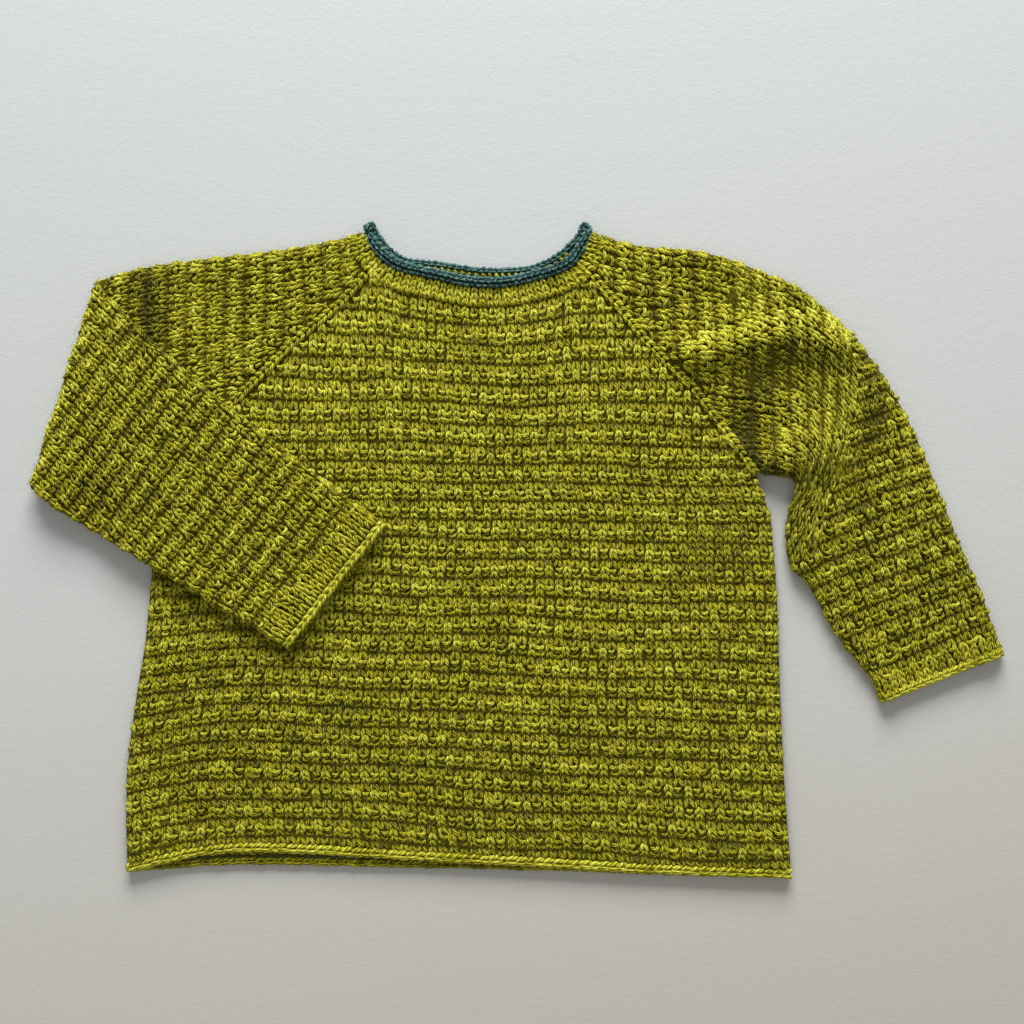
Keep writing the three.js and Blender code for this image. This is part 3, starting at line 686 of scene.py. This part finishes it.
def columns_chart(outer, inner, form, upper, position, columns, rows=None):
    """A chart whose columns follow the sleeve, and which of its cells are on the cloth. position(u,
    total) gives each column's distance round the tube from the outer fold. Rows are even along every
    column, and are counted back from the cuff where rows gives their number."""
    width = norm(inner - outer, axis=-1)
    total = width + 2 * EXTRA
    u = np.arange(0, columns * FINE + 1) / FINE
    a = position(u[None, :], total[:, None])
    grid = sleeve_point(outer[:, None], inner[:, None], a, form, upper)
    flat_form = Form(form.beads, form.ridge, form.lifted, stay)
    flat = sleeve_point(outer[:, None], inner[:, None], a, flat_form, upper)
    steps = norm(np.diff(flat[..., :2], axis=0), axis=-1)
    run = np.vstack([np.zeros((1, len(u))), np.cumsum(steps, axis=0)])
    if rows:
        run = run - run[-1:] + rows * ROW
    rows = rows or int(run[-1].max() / ROW) + 1

    def place(cu, cv):
        out = np.empty((*cu.shape, 3))
        for k in range(cu.shape[1]):
            for axis in range(3):
                out[:, k, axis] = np.interp(cv[:, k] * ROW, run[:, k], grid[:, k, axis])
        return out

    def valid(c, r):
        k = np.minimum(c * FINE + FINE // 2, len(u) - 1)
        return ((r + 0.7) * ROW < run[-1, k]) & ((r + 0.4) * ROW > run[0, k])

    return Chart(place, columns, rows, outward_of(form, upper)), valid


def placed(points):
    """Plan points of the left sleeve, laid out straight, where its fold puts them."""
    points = np.asarray(points, float)
    return fold_over(np.concatenate([points, np.zeros((len(points), 1))], -1))


past_fold = CAP_RAIL + 4 * RAIL  # the point of the rails where the forearm starts
forearm_outline = np.vstack([placed(left_outer[past_fold:]), placed(CUFF_LEFT[1]),
                             placed(left_inner[past_fold:][::-1])])


def covered(points, margin=8):
    """Whether cloth is hidden under the folded forearm, more than margin inside its edge."""
    closed = np.vstack([forearm_outline, forearm_outline[:1]])
    return inside(forearm_outline, points) & (distance(closed, points) > margin)


def knit_cells(yarn, chart, c, r, keep, detail, seed, mend=None, valid=None, loose=1.0):
    """Fills the kept cells of a chart with the textured pattern."""
    centre = chart.at(c + 0.5, r + 0.5)
    use = keep(centre)
    if valid is not None:
        use &= valid(c, r)
    c, r, centre = c[use], r[use], centre[use]
    purl, groove = kinds(c, r)
    level = np.where(groove, 0.0, -0.03) - (0 if detail else 0.35) + 0.4 * bell(distance(STEEP, centre), 10)
    tint = np.where(groove, 0.03, 0.0)
    band = np.ones(len(c))
    # Painted light: the cloth is paler towards the top, where the window light comes from, and darker towards the
    # hem; the front's stitches are a little paler than the rest.
    tint = tint + 0.00026 * centre[:, 1] + (0.014 if chart is front_chart else -0.012)
    # painted shade in the troughs and fold shadows, painted highlight on the crests
    tint = tint + marked(centre, PAINTED_SHADE_AND_HIGHLIGHT) * detail
    if mend is not None:
        x, y = centre[:, 0], centre[:, 1]
        ragged = 3 * np.sin(1.9 * c)  # its edge is uneven, as the new rows end where the old cloth was sound
        mended = (x > mend[0] + 3 * np.sin(2.3 * r)) & (x < mend[1]) & (y > mend[2] + ragged) & (y < mend[3] + ragged)
        purl = purl & ~mended
        level = np.where(mended, -0.05, level)
        tint = np.where(mended, -0.12, tint)
        band = np.where(mended, 0.4, band)
    u = c + 0.5 + wobble(c, r, seed)
    v = r + 0.5 + wobble(r, c, seed + 4) + 0.16 * np.sin(c * 0.27 + r * 0.11 + seed)
    knit, bars = (KNIT, PURL) if detail else (PLAIN_KNIT, PLAIN_PURL)
    yarn.add(knit, chart, u[~purl], v[~purl], level[~purl], tint[~purl], jitter=loose, band=band[~purl],
             row=r[~purl] + 0.5)
    yarn.add(bars, chart, u[purl], v[purl], level[purl] - 0.13, tint[purl] - 0.055, 0.96, jitter=1.4 * loose,
             band=band[purl], row=r[purl] + 0.5)
    if detail:  # stray fibres of the wool
        yarn.add(FIBRE, chart, u, v, 0.1, tint + 0.06, turn=draw.uniform(0, 2 * math.pi, (len(u), 1)), jitter=3.0)


def chain_chart(path, half_width, count, dome):
    """A narrow band of cloth, two half widths across, whose columns run along a path."""
    line = Line(None, dense=path)

    def place(u, v):
        s = np.clip(v / count, 0, 1) * line.length
        p = line.at(s)
        ahead = line.at(np.minimum(s + 0.5, line.length)) - line.at(np.maximum(s - 0.5, 0))
        w = u - 1
        p = p - sideways(ahead) * (w * half_width)[..., None]
        p[..., 2] -= dome * w ** 2
        return p

    return place


# ----- front and back stitches

front_chart = Chart(body_place(HEM_FRONT, True), ACROSS, YOKE + BODY, 1)
back_chart = Chart(body_place(HEM_BACK, False), ACROSS, YOKE + BODY, -1)


def off_seam(seam, sign, p):
    """Whether cloth on the sign's side of a raglan line is clear of it, or below its end."""
    return ((distance(seam.p, p) > SEAM_CLEAR) & (sign * side_of(seam, p) > 0)) | (p[:, 1] < UNDERARM)


def panel_keep(seams, neck_path, clearance, hidden):
    def keep(p):
        ok = (distance(neck_path, p) > clearance) & ~((p[:, 1] > 137) & (np.abs(p[:, 0] + 20) > 60))
        for seam, sign in zip(seams, (1, -1)):
            ok &= off_seam(seam, sign, p)
        if hidden:
            ok &= ~covered(p)
        return ok
    return keep


yoke_yarn, body_yarn, back_yarn = Yarn(), Yarn(), Yarn()
front_keep = panel_keep(seams_front, neck_front_path, RIB_CLEAR, True)
knit_cells(yoke_yarn, front_chart, *cells(ACROSS, SPLIT), front_keep, True, 1, mend=MEND)
knit_cells(body_yarn, front_chart, *cells(ACROSS, YOKE + BODY, (0, SPLIT)), front_keep, True, 1, mend=MEND)
back_keep = panel_keep(seams_back, neck_back_path, BACK_NECK_CLEAR, False)
knit_cells(back_yarn, back_chart, *cells(ACROSS, YOKE + BODY), back_keep, False, 2)

# ----- sleeve stitches

CREST_LINE = np.array([*CREST, (130, -12)], float)[::-1]


def past_crest(p):
    return p[:, 0] - np.interp(p[:, 1], CREST_LINE[:, 1], CREST_LINE[:, 0])


def evenly(u, total):
    return u / SLEEVE_TOP * total


def from_fold(u, total):
    return np.minimum(u * PITCH, total)


def to_inner_fold(u, total):
    return total - (1 - u) * PITCH


def sleeve_keep(sign, upper, inner, extra):
    """The cells of a sleeve's layer clear of its seam, the neck and its inner fold. sign is the
    sleeve's side, and extra is one more test."""
    seam = (seams_front if upper else seams_back)[1 if sign > 0 else 0]
    neck, clearance = (neck_front_path, RIB_CLEAR) if upper else (neck_back_path, BACK_NECK_CLEAR)

    def keep(p):
        edge = np.minimum(distance(cap_right_line, p), distance(cap_left_line, p)) < 4.5
        clear = (distance(neck, p) > clearance) | (edge & (distance(neck, p) > 3.4))
        ok = off_seam(seam, sign, p) & clear & extra(p)
        return ok & (True if inner is None else distance(inner, p) > FOLD_CLEAR)
    return keep


def fill(yarn, chart, valid, keep, detail, seed, loose=1.0):
    columns, rows = int(chart.u[-1]), int(chart.v[-1])
    knit_cells(yarn, chart, *cells(columns, rows), keep, detail, seed, valid=valid, loose=loose)


CREST_LAP = 0.6  # how far the upper arm's and the forearm's stitches lap over the crest between them


def before_crest(p):
    return past_crest(p) < CREST_LAP


def after_crest(p):
    return past_crest(p) > -CREST_LAP


cap_yarn, arm_yarn, right_low = Yarn(), Yarn(), Yarn()
right = right_outer, right_inner, RIGHT
fill(cap_yarn, *columns_chart(*right, True, evenly, SLEEVE_TOP), sleeve_keep(1, True, None, before_crest),
     True, 3, 1.3)
fill(arm_yarn, *columns_chart(*right, True, from_fold, SLEEVE_TOP, RIGHT_ROWS),
     sleeve_keep(1, True, right_inner, after_crest), True, 4, 1.35)
fill(arm_yarn, *columns_chart(*right, True, to_inner_fold, 1, RIGHT_ROWS), sleeve_keep(1, True, None, after_crest),
     True, 5)
fill(right_low, *columns_chart(*right, False, from_fold, SLEEVE_UNDER),
     sleeve_keep(1, False, right_inner, lambda p: p[:, 0] > 0), False, 6)
fill(right_low, *columns_chart(*right, False, to_inner_fold, 1),
     sleeve_keep(1, False, None, lambda p: p[:, 0] > 119), False, 7)

upper_yarn, fore_yarn, left_low = Yarn(), Yarn(), Yarn()
to_fold = CAP_RAIL + 3 * RAIL + 5
fill(upper_yarn, *columns_chart(left_outer[:to_fold], left_inner[:to_fold], LEFT, True, from_fold, SLEEVE_UNDER),
     sleeve_keep(-1, True, None, lambda p: ~covered(p)), True, 8, 1.3)

left = left_outer, left_inner, LEFT
left_under = columns_chart(*left, False, from_fold, SLEEVE_UNDER, LEFT_ROWS)
left_edge = columns_chart(*left, False, to_inner_fold, 1, LEFT_ROWS)
inner_placed = placed(left_inner)
FOREARM_LOW = 2.2  # lowest height of the folded forearm's cloth


def on_forearm(p):
    return p[:, 2] > FOREARM_LOW


def clear_of_fold(p):
    return on_forearm(p) & (distance(inner_placed[past_fold - 4:], p) > FOLD_CLEAR)


fill(fore_yarn, *left_under, clear_of_fold, True, 9, 1.35)
fill(fore_yarn, *left_edge, on_forearm, True, 10)
fill(left_low, *left_under, sleeve_keep(-1, False, inner_placed, lambda p: ~on_forearm(p)), False, 9, 1.35)
fill(left_low, *left_edge, lambda p: ~on_forearm(p) & (p[:, 0] < -178), False, 10)

# ----- cuffs, ribs, seams and edges

def cuff(yarn, sections, form, upper, detail, columns):
    """Knits one layer of a cuff, and returns the line of its rim."""
    (o0, i0), (o1, i1) = np.array(sections, float)

    def place(u, v):
        t = (v / CUFF_ROWS)[..., None]
        outer, inner = o0 + t * (o1 - o0), i0 + t * (i1 - i0)
        width = norm(inner - outer, axis=-1)
        return sleeve_point(outer, inner, u / columns * (width + 2 * EXTRA), form, upper)

    chart = Chart(place, columns, CUFF_ROWS, outward_of(form, upper), (0, -1))
    c, r = cells(columns, CUFF_ROWS)
    yarn.add(KNIT if detail else PLAIN_KNIT, chart, c + 0.5, r + 0.2, 0.0 if detail else -0.35, -0.04,
             0.94, 1.08, 0.0, 1.2)
    return chart.at(np.linspace(0, columns, 60), np.full(60, float(CUFF_ROWS)))


def chain(yarn, path, pitch, step, template, outward=1, dome=4.0, lanes=1, tint=0.05, level=0.45, width=1.0,
          jitter=0.6):
    """Stitches that run along a path: a bound-off edge, or the knit column of a seam."""
    line = Line(None, dense=path)
    count = max(2, int(round(line.length / step)))
    chart = Chart(chain_chart(path, pitch, count, dome), 2, count, outward)
    c, r = cells(lanes, count)
    u = c + 0.5 if lanes == 2 else c + 1.0
    yarn.add(template, chart, u, r + 0.5, level, tint, width, step / ROW * 0.78, 0.0, jitter)


cuff_right, cuff_left = Yarn(), Yarn()
for yarn, sections, form, columns in ((cuff_right, CUFF_RIGHT, RIGHT, 16), (cuff_left, CUFF_LEFT, LEFT, 19)):
    for upper in (True, False):
        visible = upper == (form is RIGHT)
        rim = cuff(yarn, sections, form, upper, visible, columns)
        ahead = rim[-1] - rim[0]
        ahead /= norm(ahead)
        out = np.array([ahead[1], -ahead[0], 0])
        if form is LEFT:
            out = -out * (1 if out @ np.array([-1.0, 0, 0]) > 0 else -1)
        rim = rim + out * (1.6 if visible else 2.8)
        rim[:, 2] = rim[:, 2] if visible else rim[:, 2] + (1.2 if form is RIGHT else -1.2)
        order = rim if form is LEFT else rim[::-1]
        # The hidden layer's rim chain, under the sleeve, is darkened as painted shade.
        chain(yarn, order, 3.8, 4.3, KNIT, tint=0.04 if visible else -0.12, width=1.15)

seam_yarn, seam_low = Yarn(), Yarn()
for seam, low in zip(seams_front, seams_back):
    path = seam.p[distance(neck_front_path, seam.p) > RIB].copy()
    path = path[~covered(path, 6)]
    path[:, 2] = 5.5
    chain(seam_yarn, path, SEAM_HALF, 3.6, KNIT, dome=0.3, tint=-0.04, level=0.25, width=1.5, jitter=1.1)
    path = low.p[distance(neck_back_path, low.p) > 4].copy()
    path[:, 2] = 0
    chain(seam_low, path, SEAM_HALF, 4.1, PLAIN_KNIT, -1, -0.3, 2, 0.0, -0.3)


def rib_place(u, v):
    line = Line(NECK_FRONT)
    s = np.clip(u * RIB_PITCH, 0, line.length)
    ahead = line.at(np.minimum(s + 1, line.length)) - line.at(np.maximum(s - 1, 0))
    p = line.at(s) + sideways(ahead) * (2.6 + v * ROW)[..., None]
    edge = np.minimum(distance(cap_right_line, p), distance(cap_left_line, p))
    p[..., 2] = MID + ROUND * rise(edge, ROUND) + BEAD * bead(edge)
    return p


RIB_PITCH = Line(NECK_FRONT).length / RIB_COLUMNS
rib_yarn = Yarn()
rib_chart = Chart(rib_place, RIB_COLUMNS, RIB_ROWS, 1)
c, r = cells(RIB_COLUMNS, RIB_ROWS)
rib_yarn.add(KNIT, rib_chart, c + 0.5, r + 0.5 + 0.05 * np.sin(c * 2.1), 0.1 * np.sin(c * 1.3), 0.02, 0.98, 1.05)


def hem_path(hem, height):
    return spline([(x, y - CHAIN_DROP, height) for x, y in hem])


hem_yarn = Yarn()
chain(hem_yarn, hem_path(HEM_FRONT, 5.2), 4.0, 4.6, KNIT, width=1.3)
# The back's hem chain, under the front's edge, is darkened as painted shadow.
chain(hem_yarn, hem_path(HEM_BACK, 2.4), 4.0, 4.6, KNIT, tint=-0.1)
chain(hem_yarn, hem_path(HEM_BACK, 0.3), 4.0, 4.6, PLAIN_KNIT, -1, -4.0, level=0.1)


def inside_place(u, v):
    p = body_place(HEM_BACK, False)(u, v)
    p[..., 2] = 2.6
    return p


# The back's inner side, where it shows past the front's shorter hem, darkened as painted shadow under the front's
# edge.
inside_chart = Chart(inside_place, ACROSS, YOKE + BODY, 1)
c, r = cells(52, YOKE + BODY, (1, YOKE + BODY - 4))
hem_yarn.add(PLAIN_PURL, inside_chart, c + 0.5, r + 0.5, -0.2, -0.12)

collar_yarn = Yarn()
ROLL_COLUMNS = 6
roll_count = int(round(roll_path.length / 3.1))


def tip_shift(x, y):
    """The ends of the roll lean outward by a little more than its solid's."""
    return np.where(x < -20, -2.0 * smooth(y, 146, 160), 2.3 * smooth(y, 149, 160))


def roll_place(u, v):
    s = (v / roll_count * roll_path.length) % roll_path.length
    centre = roll_path.at(s)
    centre[..., 0] += tip_shift(centre[..., 0], centre[..., 1])
    ahead = roll_path.at((s + 1) % roll_path.length) - roll_path.at((s - 1) % roll_path.length)
    ahead /= norm(ahead, axis=-1, keepdims=True)
    side = sideways(ahead)
    up = np.cross(side, ahead)
    radius = 1.8 + 0.3 * smooth(centre[..., 2], 2.2, 5) - 0.35 * smooth(centre[..., 1], 155, 162)
    angle = u / ROLL_COLUMNS * 2 * math.pi
    return centre + (radius - 0.1)[..., None] * (np.cos(angle)[..., None] * side + np.sin(angle)[..., None] * up)


roll_chart = Chart(roll_place, ROLL_COLUMNS + 1, roll_count, 1, (-1, 0))
c, r = cells(ROLL_COLUMNS, roll_count)
stagger = np.where(c % 2 == 0, 0.0, 0.5)
v = np.clip(r + 0.5 + stagger, 0.6, roll_count - 0.6)
collar_yarn.add(PURL, roll_chart, c + 0.5, v, 0.3 + draw.normal(0, 0.12, len(c)), 0.0, 0.78, 1.0,
                math.pi / 2 + 0.35 * np.where(c % 2 == 0, 1, -0.4)[:, None] + draw.normal(0, 0.25, (len(c), 1)))

# Between the two strands of the roll: the row that it was picked up in, and the roll's first row.
behind = spline(NECK_BACK)[::-1]
behind = behind[(behind[:, 0] > -57) & (behind[:, 0] < 25)]
pick_yarn = Yarn()
# Both rows are darkened as painted shade under the roll.
for drop, yarn, height, tint in ((1.9, pick_yarn, 3.6, -0.1), (3.5, collar_yarn, 3.4, -0.1)):
    path = behind.copy()
    path[:, 1] -= drop
    path[:, 2] = height
    chain(yarn, path, 3.0, 3.4, PURL, dome=1.0, tint=tint, level=0.3)

# ----- the cloth under the stitches


def cloth(node, material, slot, shown=1.45, hidden=0.45):
    """A thin closed shell inside a node's solid: below its surface by shown where the surface is in
    view, and by hidden inside a sleeve and between the front and the back."""
    mesh = bpy.data.objects[node].data.copy()
    mesh.name = node + "_cloth"
    work = bmesh.new()
    work.from_mesh(mesh)
    bmesh.ops.remove_doubles(work, verts=work.verts, dist=1e-6)
    if node == "sleeve_right":
        bmesh.ops.subdivide_edges(work, edges=work.edges[:], cuts=2, use_grid_fill=True)
    work.normal_update()
    tree = BVHTree.FromBMesh(work)
    moves = []
    for v in work.verts:
        n = v.normal.copy()
        if node in ("front", "back"):
            depth = shown if (n.z > 0) == (node == "front") else hidden
        else:
            near = tree.ray_cast(v.co + n * 2e-5, n, 0.0012)[0]
            depth = shown if near is None else hidden
        depth *= abs(n.z) + 0.5 * (1 - abs(n.z))
        move = n * (depth / 1000)
        if node == "sleeve_right":  # its creases are deeper than the solid's
            at = np.array(v.co) * 1000
            lift = float(marked(at, CREASES)) - 0.35 - 0.7 * float(bell(distance(STEEP, at), 12))
            move.z -= lift * float(smooth(at[2], 3, 5.2)) / 1000
        if node == "collar":
            move.x -= float(tip_shift(v.co.x * 1000, v.co.y * 1000)) / 1000
        moves.append(move)
    for v, move in zip(work.verts, moves):
        v.co -= move
    work.normal_update()
    work.to_mesh(mesh)
    work.free()
    piece = put(node + "_cloth", mesh)
    mesh.materials.clear()
    mesh.materials.append(material)
    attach(piece, "root")
    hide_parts(node)
    return piece


made = {name + "_stitches": yarn.build(name + "_stitches", wool) for name, yarn in (
    ("yoke", yoke_yarn), ("body", body_yarn), ("back", back_yarn), ("cap_right", cap_yarn),
    ("arm_right", arm_yarn), ("under_right", right_low), ("arm_left", upper_yarn), ("forearm_left", fore_yarn),
    ("under_left", left_low), ("cuff_right", cuff_right), ("cuff_left", cuff_left), ("seam", seam_yarn),
    ("back_seam", seam_low), ("neck_rib", rib_yarn), ("hem_chain", hem_yarn), ("pick_up", pick_yarn))}
made["collar_stitches"] = collar_yarn.build("collar_stitches", teal)

for node in ("front", "back", "sleeve_right", "sleeve_left", "cuff_right", "cuff_left", "hem_edge"):
    made[node] = cloth(node, backing, "garment_wool", *((0.8, 0.8) if node == "hem_edge" else ()))
made["collar"] = cloth("collar", teal_backing, "collar_wool", 0.6, 0.6)

# ----- surface, light and camera

floor_mesh = bpy.data.meshes.new("floor")
floor_mesh.from_pydata([(-4, -4, -0.0002), (4, -4, -0.0002), (4, 4, -0.0002), (-4, 4, -0.0002)], [], [(0, 1, 2, 3)])
floor = put("floor", floor_mesh)
paint = bpy.data.materials.new("painted_board")
tree, shader = nodes_of(paint)
grain = noise_node(tree, 260, 4)
patch = noise_node(tree, 7, 2)
stretch = tree.nodes.new("ShaderNodeMapping")
stretch.inputs["Rotation"].default_value = (0, 0, 0.12)
stretch.inputs["Scale"].default_value = (1, 0.035, 1)
tree.links.new(tree.nodes.new("ShaderNodeTexCoord").outputs["Object"], stretch.inputs["Vector"])
brush = noise_node(tree, 620, 3, stretch.outputs[0])
speck = noise_node(tree, 900, 2)
mixed = mix_of(tree, (grain, 0.35), (patch, 0.65))
# Painted light: the board is warm and darker towards the bottom, pale and cool towards the top where the window light
# falls, and moves towards the lower colours on the right.
where = tree.nodes.new("ShaderNodeSeparateXYZ")
tree.links.new(tree.nodes.new("ShaderNodeTexCoord").outputs["Object"], where.inputs[0])
lean = mix_of(tree, (where.outputs[1], 1.9), (where.outputs[0], -0.35), base=0.5)
mixed = mix_of(tree, (mixed, 0.12), (lean, 0.94))
tree.links.new(ramp_node(tree, mixed, [(0.0, (0.585, 0.54, 0.455)), (0.5, (0.635, 0.62, 0.585)),
                                       (1.0, (0.595, 0.605, 0.595))]), shader.inputs["Base Color"])
shader.inputs["Roughness"].default_value = 0.55
strokes = mix_of(tree, (brush, 0.5), (speck, 0.45), (grain, 0.6))
bump(tree, shader, strokes, 0.5, 0.0004)
floor_mesh.materials.append(paint)
floor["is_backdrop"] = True


def area_light(name, place, size, power, colour):
    """A light that points at the middle of the garment."""
    data = bpy.data.lights.new(name, "AREA")
    data.shape = "RECTANGLE"
    data.size, data.size_y = size
    data.energy = power
    data.color = colour
    lamp = put(name, data)
    lamp.location = place
    lamp.rotation_euler = (-Vector(place)).to_track_quat("-Z", "Y").to_euler()


area_light("window", (-0.02, 1.9, 0.92), (1.4, 0.9), 70, (0.95, 0.98, 1.0))
area_light("fill", (-0.6, -1.4, 1.4), (1.6, 1.6), 4, (1.0, 0.95, 0.86))
world = bpy.data.worlds.new("room")
scene.world = world
world.use_nodes = True
sky = world.node_tree.nodes["Background"]
sky.inputs[0].default_value = (0.93, 0.97, 1.0, 1)
sky.inputs[1].default_value = 0.31

camera_data = bpy.data.cameras.new("camera")
camera_data.lens = 50
camera_data.sensor_width = 36
camera = put("camera", camera_data)
camera.location = (-0.00325, 0.0195, 0.005 + 0.512 * 50 / 36)
scene.camera = camera
scene.view_settings.view_transform = "Standard"

low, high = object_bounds()
{"cad": [list(cad_low), list(cad_high)], "visual": [list(low), list(high)]}
